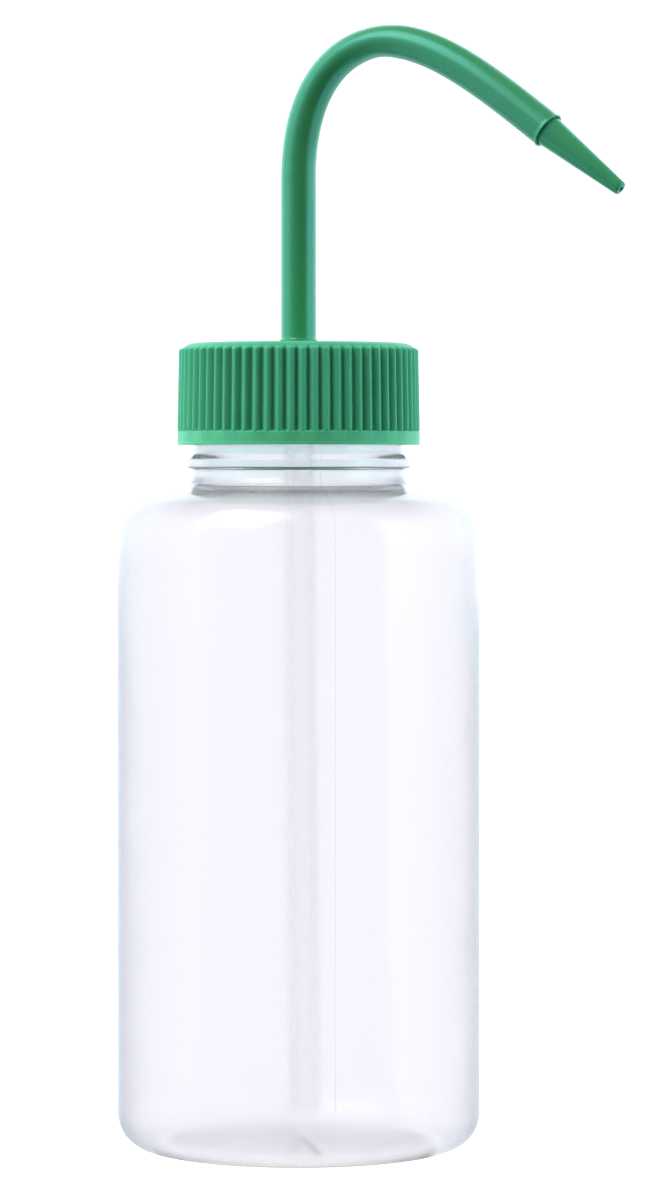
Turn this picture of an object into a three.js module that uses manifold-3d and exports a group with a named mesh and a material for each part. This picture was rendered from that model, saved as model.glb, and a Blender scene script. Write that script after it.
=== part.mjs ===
// Laboratory wash bottle: a blow-moulded squeeze bottle, a ribbed screw cap over a sealing ring,
// and a spout that swivels in the cap, with a jet tip on its end and a dip tube under it.
//
// Units are millimetres and +Z is up. The origin is on the bottle's axis, in the plane that it
// stands on. The spout leans towards +X, in the XZ plane.
//
// The bottle's neck and the cap carry right-handed helical threads of one pitch, so a cap that
// turns anticlockwise, seen from above, climbs by THREAD_PITCH a turn and never touches the neck.

import * as THREE from "three";
import { mergeVertices } from "three/addons/utils/BufferGeometryUtils.js";
import Module from "manifold-3d";

const wasm = await Module();
wasm.setup();

// ---------------------------------------------------------------- driving dimensions

const FULL_TURN = 2 * Math.PI;
const ROUND_SIDES = 48; // sides of the bottle's and the cap's round surfaces
const TUBE_SIDES = 16; // sides of the spout, the jet tip and the dip tube
const SLEEVE_SIDES = 32; // sides of the cap's sleeve and hole
const WELD = 1e-4; // vertices closer than this are one vertex
const OVERLAP = 0.5; // how far a piece that is joined or cut away runs past the face it meets

// Bottle
const BODY_RADIUS = 38;
const BODY_WALL = 1;
const BASE_CORNER = 7.5; // radius of the edge between the base and the side
const STANDING_RING = 2.5; // width of the flat ring that it stands on
const BASE_RISE = 2.2; // height of the pushed-up base at its middle
const SHOULDER_START = 127.85; // height where the straight side ends
const SHOULDER_CORNER = 9.3; // radius of the shoulder's outer bend
const SHOULDER_CORNER_TURN = THREE.MathUtils.degToRad(61.4);
const SHOULDER_CROWN = 22; // radius of its flatter upper bend
const SHOULDER_CROWN_TURN = THREE.MathUtils.degToRad(16.6);
const BEND_FACETS = 5; // along the base's edge and the shoulder's outer bend
const CROWN_FACETS = 2; // along the shoulder's upper bend
const NECK_RADIUS = 22.1;
const NECK_WALL = 1.4;
const NECK_TOP = 165.35;
const NECK_FOOT_FILLET = 1;
const BEAD_RADIUS = 23.45; // the ring below the cap that the mould's neck tools close on
const BEAD_BOTTOM = 142.3;
const BEAD_TOP = 145.4;
const BEAD_UNDERSIDE = 0.6; // height of its lower slope
const BEAD_BEVEL = 1; // height of its upper slope

// Threads
const THREAD_PITCH = 4;
const THREAD_TURNS = 1.5;
const THREAD_ROOT_WIDTH = 2.2;
const THREAD_CREST_WIDTH = 0.9;
const THREAD_RUNOUT = THREE.MathUtils.degToRad(22.5); // each end fades out over this angle
const THREAD_STEPS_PER_TURN = 32;
const THREAD_SINK = 0.3; // how far a ridge reaches into the wall that carries it
const THREAD_END_DEPTH = 0.1; // what is left of a ridge, inside the wall, where it has faded out
const NECK_THREAD_START = 157; // height of the ridge's middle at its lower end
const NECK_THREAD_RADIUS = 23.3;
const CAP_THREAD_RADIUS = 22.45;
const CAP_THREAD_DROP = 1.68; // the cap's ridge runs this far below the neck's

// Screw cap
const CAP_BOTTOM = 147.4;
const CAP_TOP = 168.65;
const CAP_PLATE = 1.8;
const CAP_BORE = 23.6;
const BAND_RADIUS = 25.45;
const BAND_TOP = 150.2; // the smooth band at the cap's lower edge ends here
const BAND_BORE = 24.5; // the skirt is thinner inside the band
const BAND_BORE_TOP = 150.1;
const RIB_COUNT = 64;
const RIB_CREST = 25.35; // radii at the ribs' lower ends
const RIB_ROOT = 24.7;
const RIB_DRAFT = 0.014; // share by which the ribbed wall's radii shrink from the band to the top
const RIB_TOP = 167.6;
const RIB_CREST_SHARE = 0.52; // share of the pitch that a rib's flat crest takes
const RIB_ROOT_SHARE = 0.16;
const CAP_EDGE_WIDTH = 3; // the rounded edge between the ribs and the flat top
const CAP_EDGE_HEIGHT = 1.2;
const CAP_EDGE_FACETS = 3;
const LUG_COUNT = 24; // small stops inside the band
const LUG_TURN = THREE.MathUtils.degToRad(8.8); // where the first one is, from +X
const LUG_WIDTH = 2.8;
const LUG_HEIGHT = 1.7;
const SLEEVE_RADIUS = 5.4; // the sleeve inside the cap that guides the spout
const SLEEVE_BOTTOM = 160.2;
const SPOUT_HOLE = 3.8;
const HOLE_LIP_RADIUS = 4.6; // low lip round the hole, on top of the cap
const HOLE_LIP_HEIGHT = 0.3;

// Sealing ring
const SEAL_INNER = 20.3;
const SEAL_OUTER = 23.2;
const SEAL_GAP = 0.1; // free play above and below it

// Spout: straight up, over two Bezier bends that meet at its highest point, and down to the outlet
const SPOUT_RADIUS = 3.7;
const SPOUT_BORE = 2.9;
const SPOUT_BOTTOM = 152;
const FLANGE_RADIUS = 5; // holds the spout up against the sleeve
const FLANGE_HEIGHT = 1.3;
const FLANGE_GAP = 0.3;
const FOOT_BEAD_RADIUS = 3.95; // rests on the lip of the cap's hole
const FOOT_BEAD_HEIGHT = 0.5;
const FOOT_BEAD_FADE = 1;
const BEND_START = 202.9;
const BEND_START_HANDLE = 23.2;
const BEND_APEX = { x: 19.9, z: 230.9 };
const BEND_APEX_HANDLE_IN = 6.5;
const BEND_APEX_HANDLE_OUT = 11.4;
const OUTLET = { x: 57.05, z: 211.25 };
const OUTLET_HANDLE = 16.8;
const OUTLET_SLOPE = THREE.MathUtils.degToRad(37.2);
const BEND_STEPS = 12; // along each of the two bends
const BEND_FLATTENING = 0.13; // the bent tube narrows by this share where it bends most
const BEND_WIDENING = 0.09; // and widens across the bend by this share
const OUTLET_LIP_RADIUS = 3.9;
const OUTLET_LIP_BORE = 3.5;
const OUTLET_LIP_LENGTH = 0.8;

// Jet tip, measured along its own axis from the spout's outlet
const JET_LENGTH = 20.4;
const JET_BASE_RADIUS = 3.3;
const JET_END_RADIUS = 1.55;
const JET_ROUNDING = 0.45;
const JET_ORIFICE = 0.6;
const JET_SPIGOT_RADIUS = 2.8;
const JET_SPIGOT_LENGTH = 6;
const JET_SPIGOT_BORE = 1.9;
const JET_SEAT = 0.6; // the cone starts this far inside the outlet's lip
const JET_THROAT = 15.3; // where the bore has narrowed to the orifice

// Dip tube
const DIP_RADIUS = 3.02;
const DIP_BORE = 2.1;
const DIP_BOTTOM = 8.1;
const DIP_TOP = 168;
const DIP_SOCKET = 3.1; // bore of the spout's lower end, which holds the dip tube
const DIP_SOCKET_TOP = 168.3;

// Materials
const clearPolythene = { color: 0xeef0f8, roughness: 0.4, metalness: 0, transparent: true };
const BOTTLE_LOOK = { ...clearPolythene, opacity: 0.45 };
const DIP_LOOK = { ...clearPolythene, opacity: 0.6 };
const GREEN_LOOK = { color: 0x2f9a6e, roughness: 0.42, metalness: 0 };
const SEAL_LOOK = { color: 0xdfe2e6, roughness: 0.6, metalness: 0 };

// ---------------------------------------------------------------- geometry helpers

const point = (radius, height) => new THREE.Vector2(radius, height);

// Points on a circular arc in the radius-height plane, both ends included.
function arc(centreRadius, centreHeight, radius, from, to, steps) {
  return Array.from({ length: steps + 1 }, (_, i) => {
    const angle = from + ((to - from) * i) / steps;
    return point(centreRadius + radius * Math.cos(angle), centreHeight + radius * Math.sin(angle));
  });
}

// Turns an outline in the radius-height plane about the Z axis.
function turned(outline, sides) {
  return new THREE.LatheGeometry(outline, sides).rotateX(Math.PI / 2);
}

// A ring-shaped outline closes on itself instead of on the axis.
function turnedRing(outline, sides) {
  return turned([...outline, outline[0]], sides);
}

function tubeSection(innerRadius, outerRadius, bottom, top) {
  return [
    point(innerRadius, bottom),
    point(outerRadius, bottom),
    point(outerRadius, top),
    point(innerRadius, top),
  ];
}

function cylinder(radius, bottom, top, sides) {
  return turned([point(0, bottom), point(radius, bottom), point(radius, top), point(0, top)], sides);
}

// Skins a row of rings of points, each running anticlockwise about the row's direction. The two
// ends are closed by flat faces, or joined to each other where the row is a loop.
function skin(rings, isLoop) {
  const sides = rings[0].length;
  const positions = rings.flat().flatMap((p) => [p.x, p.y, p.z]);
  const faces = [];
  const rows = isLoop ? rings.length : rings.length - 1;
  for (let row = 0; row < rows; row++) {
    const next = (row + 1) % rings.length;
    for (let side = 0; side < sides; side++) {
      const [a, b] = [row * sides + side, row * sides + ((side + 1) % sides)];
      const [c, d] = [next * sides + ((side + 1) % sides), next * sides + side];
      faces.push(a, b, c, a, c, d);
    }
  }
  if (!isLoop) {
    const last = (rings.length - 1) * sides;
    for (let side = 1; side < sides - 1; side++) {
      faces.push(0, side + 1, side);
      faces.push(last, last + side, last + side + 1);
    }
  }
  const geometry = new THREE.BufferGeometry();
  geometry.setAttribute("position", new THREE.Float32BufferAttribute(positions, 3));
  geometry.setIndex(faces);
  geometry.computeVertexNormals();
  return geometry;
}

function toSolid(geometry) {
  const bare = geometry.index ? geometry.toNonIndexed() : geometry.clone();
  bare.deleteAttribute("normal");
  bare.deleteAttribute("uv");
  const merged = mergeVertices(bare, WELD);
  return new wasm.Manifold(
    new wasm.Mesh({
      numProp: 3,
      vertProperties: merged.attributes.position.array,
      triVerts: new Uint32Array(merged.index.array),
    }),
  );
}

function toGeometry(body) {
  const { vertProperties, triVerts } = body.getMesh();
  const geometry = new THREE.BufferGeometry();
  geometry.setAttribute("position", new THREE.Float32BufferAttribute(vertProperties, 3));
  geometry.setIndex(Array.from(triVerts));
  geometry.computeVertexNormals();
  return geometry;
}

// A helical ridge with faded ends, from a wall's surface to a crest. It stands outwards where the
// crest is the larger radius, and inwards where it is the smaller one.
function threadRidge(wallRadius, crestRadius, startHeight) {
  const steps = THREAD_TURNS * THREAD_STEPS_PER_TURN;
  const outward = Math.sign(crestRadius - wallRadius);
  const buried = wallRadius - outward * THREAD_SINK;
  const rings = Array.from({ length: steps + 1 }, (_, i) => {
    const angle = (THREAD_TURNS * FULL_TURN * i) / steps;
    const fromEnd = Math.min(angle, THREAD_TURNS * FULL_TURN - angle);
    const rise = Math.min(fromEnd / THREAD_RUNOUT, 1);
    const faded = buried + outward * THREAD_END_DEPTH;
    const crest = THREE.MathUtils.lerp(faded, crestRadius, rise);
    const middle = startHeight + (THREAD_PITCH * angle) / FULL_TURN;
    const corners = [
      point(buried, middle - THREAD_ROOT_WIDTH / 2),
      point(crest, middle - THREAD_CREST_WIDTH / 2),
      point(crest, middle + THREAD_CREST_WIDTH / 2),
      point(buried, middle + THREAD_ROOT_WIDTH / 2),
    ];
    if (outward > 0) corners.reverse();
    return corners.map(
      (c) => new THREE.Vector3(c.x * Math.cos(angle), c.x * Math.sin(angle), c.y),
    );
  });
  return skin(rings, false);
}

function mesh(name, geometry, look) {
  const made = new THREE.Mesh(geometry, new THREE.MeshStandardMaterial(look));
  made.name = name;
  return made;
}

// ---------------------------------------------------------------- bottle

// The bottle's side from the standing ring to the foot of the neck, moved inwards by a wall.
function bottleSide(inset) {
  const baseCentre = BODY_RADIUS - BASE_CORNER;
  const cornerCentre = BODY_RADIUS - SHOULDER_CORNER;
  const crownOffset = SHOULDER_CROWN - SHOULDER_CORNER;
  const crownRadius = cornerCentre - crownOffset * Math.cos(SHOULDER_CORNER_TURN);
  const crownHeight = SHOULDER_START - crownOffset * Math.sin(SHOULDER_CORNER_TURN);
  const crownEnd = SHOULDER_CORNER_TURN + SHOULDER_CROWN_TURN;
  const base = arc(baseCentre, BASE_CORNER, BASE_CORNER - inset, -Math.PI / 2, 0, BEND_FACETS);
  const corner = arc(
    cornerCentre,
    SHOULDER_START,
    SHOULDER_CORNER - inset,
    0,
    SHOULDER_CORNER_TURN,
    BEND_FACETS,
  );
  const crown = arc(
    crownRadius,
    crownHeight,
    SHOULDER_CROWN - inset,
    SHOULDER_CORNER_TURN,
    crownEnd,
    CROWN_FACETS,
  );
  // The side runs on in a straight line from the crown to the neck's fillet.
  const end = crown[crown.length - 1];
  const footRadius = NECK_RADIUS + NECK_FOOT_FILLET - inset;
  const footHeight = end.y + (end.x - footRadius) / Math.tan(crownEnd);
  return [...base, ...corner, ...crown.slice(1), point(footRadius, footHeight)];
}

function bottleOutline() {
  const ringInner = BODY_RADIUS - BASE_CORNER - STANDING_RING;
  const dome = (share, lift) => {
    const height = BASE_RISE * (1 - share * share) + lift;
    return point(ringInner * share, height);
  };
  const outside = bottleSide(0);
  const inside = bottleSide(BODY_WALL);
  const neckFoot = outside[outside.length - 1].y + NECK_FOOT_FILLET;
  const neckInner = NECK_RADIUS - NECK_WALL;
  return [
    dome(0, 0),
    dome(0.5, 0),
    dome(1, 0),
    ...outside,
    point(NECK_RADIUS, neckFoot),
    point(NECK_RADIUS, BEAD_BOTTOM),
    point(BEAD_RADIUS, BEAD_BOTTOM + BEAD_UNDERSIDE),
    point(BEAD_RADIUS, BEAD_TOP - BEAD_BEVEL),
    point(NECK_RADIUS, BEAD_TOP),
    point(NECK_RADIUS, NECK_TOP),
    point(neckInner, NECK_TOP),
    point(neckInner, neckFoot),
    ...inside.reverse(),
    dome(1, BODY_WALL),
    dome(0.5, BODY_WALL),
    dome(0, BODY_WALL),
  ];
}

function makeBottle() {
  const shell = toSolid(turned(bottleOutline(), ROUND_SIDES));
  const thread = toSolid(threadRidge(NECK_RADIUS, NECK_THREAD_RADIUS, NECK_THREAD_START));
  return mesh("bottle", toGeometry(shell.add(thread)), BOTTLE_LOOK);
}

// ---------------------------------------------------------------- screw cap

// The ribbed wall's outline, seen from above: flat crests joined to flat roots by sloping flanks.
function ribbedOutline() {
  const outline = new THREE.Shape();
  const pitch = FULL_TURN / RIB_COUNT;
  const corners = [
    [-RIB_CREST_SHARE / 2, RIB_CREST],
    [RIB_CREST_SHARE / 2, RIB_CREST],
    [0.5 - RIB_ROOT_SHARE / 2, RIB_ROOT],
    [0.5 + RIB_ROOT_SHARE / 2, RIB_ROOT],
  ];
  for (let rib = 0; rib < RIB_COUNT; rib++) {
    for (const [share, radius] of corners) {
      const angle = (rib + share) * pitch;
      const [x, y] = [radius * Math.cos(angle), radius * Math.sin(angle)];
      if (outline.curves.length || outline.currentPoint.lengthSq()) outline.lineTo(x, y);
      else outline.moveTo(x, y);
    }
  }
  return outline;
}

// The ribbed wall from the band to the ribs' tops, narrowing upwards by its draft.
function ribbedWall() {
  const height = RIB_TOP - BAND_TOP;
  const wall = new THREE.ExtrudeGeometry(ribbedOutline(), { depth: height, bevelEnabled: false });
  const places = wall.attributes.position;
  for (let i = 0; i < places.count; i++) {
    const scale = 1 - (RIB_DRAFT * places.getZ(i)) / height;
    places.setXY(i, places.getX(i) * scale, places.getY(i) * scale);
  }
  return wall.translate(0, 0, BAND_TOP);
}

// The cap without its ribs: band, skirt, rounded edge and flat top.
function capCore() {
  const edgeStart = CAP_TOP - CAP_EDGE_HEIGHT;
  const topRadius = RIB_ROOT * (1 - RIB_DRAFT);
  const edge = Array.from({ length: CAP_EDGE_FACETS }, (_, i) => {
    const angle = ((Math.PI / 2) * (i + 1)) / CAP_EDGE_FACETS;
    return point(
      topRadius - CAP_EDGE_WIDTH * (1 - Math.cos(angle)),
      edgeStart + CAP_EDGE_HEIGHT * Math.sin(angle),
    );
  });
  return turned(
    [
      point(0, CAP_BOTTOM),
      point(BAND_RADIUS, CAP_BOTTOM),
      point(BAND_RADIUS, BAND_TOP),
      point(RIB_ROOT, BAND_TOP),
      point(topRadius, edgeStart),
      ...edge,
      point(HOLE_LIP_RADIUS, CAP_TOP),
      point(SPOUT_HOLE, CAP_TOP + HOLE_LIP_HEIGHT),
      point(0, CAP_TOP + HOLE_LIP_HEIGHT),
    ],
    ROUND_SIDES,
  );
}

// One of the small stops inside the band, at its place round the cap.
function bandLug(index) {
  const depth = BAND_BORE - CAP_BORE + THREAD_SINK;
  const lug = new THREE.BoxGeometry(depth, LUG_WIDTH, LUG_HEIGHT);
  lug.translate(CAP_BORE + depth / 2, 0, BAND_TOP - LUG_HEIGHT / 2);
  return lug.rotateZ(LUG_TURN + (FULL_TURN * index) / LUG_COUNT);
}

function makeScrewCap() {
  const plateBottom = CAP_TOP - CAP_PLATE;
  const lipTop = CAP_TOP + HOLE_LIP_HEIGHT;
  const hollow = cylinder(CAP_BORE, CAP_BOTTOM - OVERLAP, plateBottom, ROUND_SIDES);
  const bandHollow = cylinder(BAND_BORE, CAP_BOTTOM - OVERLAP, BAND_BORE_TOP, ROUND_SIDES);
  const sleeve = cylinder(SLEEVE_RADIUS, SLEEVE_BOTTOM, plateBottom + OVERLAP, SLEEVE_SIDES);
  const hole = cylinder(SPOUT_HOLE, SLEEVE_BOTTOM - OVERLAP, lipTop + OVERLAP, SLEEVE_SIDES);
  const thread = threadRidge(CAP_BORE, CAP_THREAD_RADIUS, NECK_THREAD_START - CAP_THREAD_DROP);
  let cap = toSolid(capCore()).add(toSolid(ribbedWall()));
  cap = cap.subtract(toSolid(hollow)).subtract(toSolid(bandHollow));
  cap = cap.add(toSolid(sleeve)).subtract(toSolid(hole)).add(toSolid(thread));
  for (let index = 0; index < LUG_COUNT; index++) cap = cap.add(toSolid(bandLug(index)));
  return mesh("screw_cap", toGeometry(cap), GREEN_LOOK);
}

// ---------------------------------------------------------------- sealing ring

function makeSealingRing() {
  const bottom = NECK_TOP + SEAL_GAP;
  const top = CAP_TOP - CAP_PLATE - SEAL_GAP;
  const outline = tubeSection(SEAL_INNER, SEAL_OUTER, bottom, top);
  return mesh("sealing_ring", turnedRing(outline, ROUND_SIDES), SEAL_LOOK);
}

// ---------------------------------------------------------------- spout

const outletDirection = new THREE.Vector3(Math.cos(OUTLET_SLOPE), 0, -Math.sin(OUTLET_SLOPE));
const outletPoint = new THREE.Vector3(OUTLET.x, 0, OUTLET.z);

// The two bends of the spout's centreline, in the XZ plane.
function spoutBends() {
  const at = (x, z) => new THREE.Vector3(x, 0, z);
  const { x, z } = BEND_APEX;
  const climb = new THREE.CubicBezierCurve3(
    at(0, BEND_START),
    at(0, BEND_START + BEND_START_HANDLE),
    at(x - BEND_APEX_HANDLE_IN, z),
    at(x, z),
  );
  const fall = new THREE.CubicBezierCurve3(
    at(x, z),
    at(x + BEND_APEX_HANDLE_OUT, z),
    outletPoint.clone().addScaledVector(outletDirection, -OUTLET_HANDLE),
    outletPoint,
  );
  return [climb, fall];
}

// Stations along the spout above the straight: its centre, direction and share of flattening.
function bendStations() {
  const stations = [];
  for (const bend of spoutBends()) {
    for (let step = 1; step <= BEND_STEPS; step++) {
      const u = step / BEND_STEPS;
      stations.push({ centre: bend.getPointAt(u), direction: bend.getTangentAt(u), flat: 0 });
    }
  }
  // A station bends as much as the directions of its neighbours differ over their distance.
  for (let i = 1; i < stations.length - 1; i++) {
    const [before, after] = [stations[i - 1], stations[i + 1]];
    const turn = before.direction.angleTo(after.direction);
    stations[i].flat = turn / before.centre.distanceTo(after.centre);
  }
  const most = Math.max(...stations.map((station) => station.flat));
  for (const station of stations) station.flat = (station.flat / most) ** 2;
  return stations;
}

// A ring of points square to the spout, narrowed in its plane and widened across it by the bend.
function spoutRing({ centre, direction, flat }, radius) {
  const inPlane = new THREE.Vector3(direction.z, 0, -direction.x);
  const across = new THREE.Vector3(0, 1, 0);
  const narrow = radius * (1 - BEND_FLATTENING * flat);
  const wide = radius * (1 + BEND_WIDENING * flat);
  return Array.from({ length: TUBE_SIDES }, (_, i) => {
    const angle = (FULL_TURN * i) / TUBE_SIDES;
    return centre
      .clone()
      .addScaledVector(inPlane, narrow * Math.cos(angle))
      .addScaledVector(across, wide * Math.sin(angle));
  });
}

function makeDeliveryTube() {
  const upright = new THREE.Vector3(0, 0, 1);
  const straight = (height, radius) =>
    spoutRing({ centre: new THREE.Vector3(0, 0, height), direction: upright, flat: 0 }, radius);
  const atOutlet = (along, radius) => {
    const centre = outletPoint.clone().addScaledVector(outletDirection, along);
    return spoutRing({ centre, direction: outletDirection, flat: 0 }, radius);
  };
  const flangeTop = SLEEVE_BOTTOM - FLANGE_GAP;
  const footBead = CAP_TOP + HOLE_LIP_HEIGHT + SEAL_GAP;
  const bends = bendStations();
  const outside = [
    straight(SPOUT_BOTTOM, SPOUT_RADIUS),
    straight(flangeTop - FLANGE_HEIGHT, SPOUT_RADIUS),
    straight(flangeTop - FLANGE_HEIGHT, FLANGE_RADIUS),
    straight(flangeTop, FLANGE_RADIUS),
    straight(flangeTop, SPOUT_RADIUS),
    straight(footBead, SPOUT_RADIUS),
    straight(footBead, FOOT_BEAD_RADIUS),
    straight(footBead + FOOT_BEAD_HEIGHT, FOOT_BEAD_RADIUS),
    straight(footBead + FOOT_BEAD_HEIGHT + FOOT_BEAD_FADE, SPOUT_RADIUS),
    straight(BEND_START, SPOUT_RADIUS),
    ...bends.slice(0, -1).map((station) => spoutRing(station, SPOUT_RADIUS)),
    atOutlet(-OUTLET_LIP_LENGTH, SPOUT_RADIUS),
    atOutlet(-OUTLET_LIP_LENGTH / 2, OUTLET_LIP_RADIUS),
    atOutlet(0, OUTLET_LIP_RADIUS),
  ];
  const inside = [
    straight(SPOUT_BOTTOM, DIP_SOCKET),
    straight(DIP_SOCKET_TOP, DIP_SOCKET),
    straight(DIP_SOCKET_TOP, SPOUT_BORE),
    straight(BEND_START, SPOUT_BORE),
    ...bends.slice(0, -1).map((station) => spoutRing(station, SPOUT_BORE)),
    atOutlet(-2 * OUTLET_LIP_LENGTH, SPOUT_BORE),
    atOutlet(-OUTLET_LIP_LENGTH, OUTLET_LIP_BORE),
    atOutlet(0, OUTLET_LIP_BORE),
  ];
  return mesh("delivery_tube", skin([...outside, ...inside.reverse()], true), GREEN_LOOK);
}

// ---------------------------------------------------------------- jet tip and dip tube

function makeJetTip() {
  const outline = [
    point(JET_SPIGOT_BORE, -JET_SPIGOT_LENGTH),
    point(JET_SPIGOT_RADIUS, -JET_SPIGOT_LENGTH),
    point(JET_SPIGOT_RADIUS, -JET_SEAT),
    point(JET_BASE_RADIUS, -JET_SEAT),
    point(JET_END_RADIUS, JET_LENGTH - JET_ROUNDING),
    point(JET_END_RADIUS - JET_ROUNDING, JET_LENGTH),
    point(JET_ORIFICE, JET_LENGTH),
    point(JET_ORIFICE, JET_THROAT),
    point(JET_SPIGOT_BORE, 0),
  ];
  const jet = mesh("jet_tip", turnedRing(outline, TUBE_SIDES), GREEN_LOOK);
  jet.position.copy(outletPoint);
  jet.rotation.y = Math.PI / 2 + OUTLET_SLOPE;
  return jet;
}

function makeDipTube() {
  const outline = tubeSection(DIP_BORE, DIP_RADIUS, DIP_BOTTOM, DIP_TOP);
  return mesh("dip_tube", turnedRing(outline, TUBE_SIDES), DIP_LOOK);
}

// ---------------------------------------------------------------- assembly

const spout = new THREE.Group();
spout.add(makeDeliveryTube(), makeJetTip(), makeDipTube());

const washBottle = new THREE.Group();
washBottle.add(makeBottle(), makeSealingRing(), makeScrewCap(), spout);

export default washBottle;
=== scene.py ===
"""Finished looks of a laboratory wash bottle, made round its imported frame.

Lengths are in millimetres while a shape is worked out, and a mesh turns them into metres.
Heights and radii that the frame knows are read from it, and the rest are named here.
"""

import math

import bpy
import numpy as np
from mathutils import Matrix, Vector


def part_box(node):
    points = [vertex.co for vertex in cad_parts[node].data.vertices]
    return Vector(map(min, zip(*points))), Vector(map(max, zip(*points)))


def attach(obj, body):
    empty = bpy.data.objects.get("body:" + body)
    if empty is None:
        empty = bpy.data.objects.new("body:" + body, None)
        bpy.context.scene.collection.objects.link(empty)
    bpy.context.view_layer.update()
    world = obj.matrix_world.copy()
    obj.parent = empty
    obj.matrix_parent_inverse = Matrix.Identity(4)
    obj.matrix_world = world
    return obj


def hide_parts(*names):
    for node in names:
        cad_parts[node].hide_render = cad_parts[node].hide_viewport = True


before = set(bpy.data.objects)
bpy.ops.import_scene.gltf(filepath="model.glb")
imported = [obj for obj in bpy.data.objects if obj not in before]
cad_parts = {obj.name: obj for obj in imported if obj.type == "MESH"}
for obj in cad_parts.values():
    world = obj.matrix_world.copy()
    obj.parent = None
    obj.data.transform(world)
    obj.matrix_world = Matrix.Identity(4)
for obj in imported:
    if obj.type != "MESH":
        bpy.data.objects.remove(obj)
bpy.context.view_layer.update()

MM = 0.001
FULL_TURN = 2 * math.pi


def limits(node):
    """A frame node's lowest and highest corner, in millimetres."""
    low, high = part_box(node)
    return low / MM, high / MM


_, bottle_high = limits("bottle")
cap_low, cap_high = limits("screw_cap")
seal_low, seal_high = limits("sealing_ring")
tube_low, _ = limits("delivery_tube")
dip_low, dip_high = limits("dip_tube")

# ------------------------------------------------------------------ sizes, millimetres

# Bottle
BODY_RADIUS = bottle_high.x
NECK_TOP = bottle_high.z
WALL = 1.0
BASE_CORNER = 7.5
STANDING_RING = 2.5
BASE_RISE = 2.2
SHOULDER_START = 127.85
SHOULDER_CORNER = 9.3
SHOULDER_CORNER_TURN = math.radians(61.4)
SHOULDER_CROWN = 22.0
SHOULDER_CROWN_TURN = math.radians(16.6)
NECK_RADIUS = 22.1
NECK_WALL = 1.4
NECK_FILLET = 1.0
RIM_ROUNDING = 0.35
BEAD_RADIUS = 23.45
BEAD_BOTTOM = 142.3
BEAD_TOP = 145.4
BEAD_SLOPE = 0.4  # height of the slope under the bead
BEAD_ROUNDING = 0.2
FOOT_ROUNDING = 0.8  # where the neck meets the shoulder, outside
INNER_ROUNDING = 1.2  # and inside
PARTING_ANGLE = math.radians(-52)  # the mould's parting plane, seen from above
PARTING_HEIGHT = 0.09
PARTING_WIDTH = 0.16
PARTING_COLUMNS = (0, 0.15, 0.3, 0.5, 0.8, 1.2)  # close columns beside it, in degrees
BODY_COLUMNS = 288
LEAST_GAP = math.radians(0.08)  # columns closer than this become one
PINCH_HEIGHT = 0.15  # the pinched seam across the base
PINCH_WIDTH = 0.8
PINCH_REACH = 25.0
BLOWN_WAVE = 0.02  # unevenness of the blown wall
BLOWN_WAVES = (  # lobes round the wall, phase, twist for each millimetre of height, share
    (2, 0.6, 0.021, 1.0),
    (3, 2.1, -0.034, 0.6),
    (5, 4.0, 0.055, 0.4),
)

# Threads, as the frame has them
THREAD_PITCH = 4.0
THREAD_TURNS = 1.5
THREAD_RUNOUT = math.radians(22.5)
THREAD_ROOT = 2.2
THREAD_CREST = 0.9
NECK_THREAD_START = 157.0
NECK_THREAD_DEPTH = 1.2
CAP_THREAD_DROP = 1.68
CAP_THREAD_DEPTH = 1.15
CAP_THREAD_TOP = 163.5  # the cap's bore has close rows from here down
THREAD_ROW = 0.22  # spacing of the rows that carry the neck's thread
CAP_THREAD_ROW = 0.45
LONG_ROW = 4.0  # longest row on a plain wall

# Screw cap
CAP_BOTTOM = cap_low.z
HOLE_LIP_HEIGHT = 0.3
CAP_TOP = cap_high.z - HOLE_LIP_HEIGHT
CAP_PLATE = 1.8
CAP_BORE = 23.6
BAND_RADIUS = cap_high.x
BAND_TOP = 150.2
BAND_BORE = 24.5
RIB_COUNT = 64
RIB_HEIGHT = 1.0
RIB_TURN = math.radians(0.8)  # where the first rib's crest is, from +X
RIB_FULLNESS = 0.7  # a rib's section is a cosine wave's square, raised to this power
RIB_COLUMNS = 14  # mesh columns in each rib
RIB_TOP = 167.55
RIB_END_START = 165.6  # the outer wall has close rows from here up
RIB_END_ROUNDING = 0.6
RIB_ROW = 2.2
RIB_END_ROW = 0.17
BAND_ROW = 0.2
ROOT_RADIUS_TOP = 24.08
ROOT_RADIUS_BOTTOM = 24.35
CAP_EDGE_WIDTH = 3.0
CAP_EDGE_HEIGHT = 1.2
LUG_COUNT = 24
LUG_TURN = math.radians(8.8)  # where the first stop is, from +X
LUG_WIDTH = 2.8
LUG_HEIGHT = 1.9
LUG_OVERLAP = 0.3  # how far a stop reaches into the walls that it joins
SLEEVE_RADIUS = 5.4
SLEEVE_BOTTOM = 160.2
SPOUT_HOLE = 3.8
HOLE_LIP_RADIUS = 4.5

# Sealing ring
SEAL_BORE = 20.3

# Spout
SPOUT_RADIUS = 3.7
SPOUT_BORE = 2.9
FLANGE_RADIUS = 5.0
FLANGE_HEIGHT = 1.3
FLANGE_GAP = 0.3
FOOT_BEAD_RADIUS = 3.93
FOOT_BEAD_HEIGHT = 0.55
FOOT_BEAD_GAP = 0.1  # clear of the cap
BEND_START = 202.9
BEND_START_HANDLE = 23.2
APEX = (19.9, 230.9)
APEX_HANDLE_IN = 6.5
APEX_HANDLE_OUT = 11.4
OUTLET = (57.05, 211.25)
OUTLET_HANDLE = 16.8
OUTLET_SLOPE = math.radians(37.2)
OUTLET_RUN = np.array([math.cos(OUTLET_SLOPE), -math.sin(OUTLET_SLOPE)])
BEND_FLATTENING = 0.13
BEND_WIDENING = 0.7 * BEND_FLATTENING
BEND_WINDOW = 13  # stations that the bend's sharpness is averaged over
SPOUT_STATIONS = 150
LIP_RADIUS = 3.86
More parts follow.
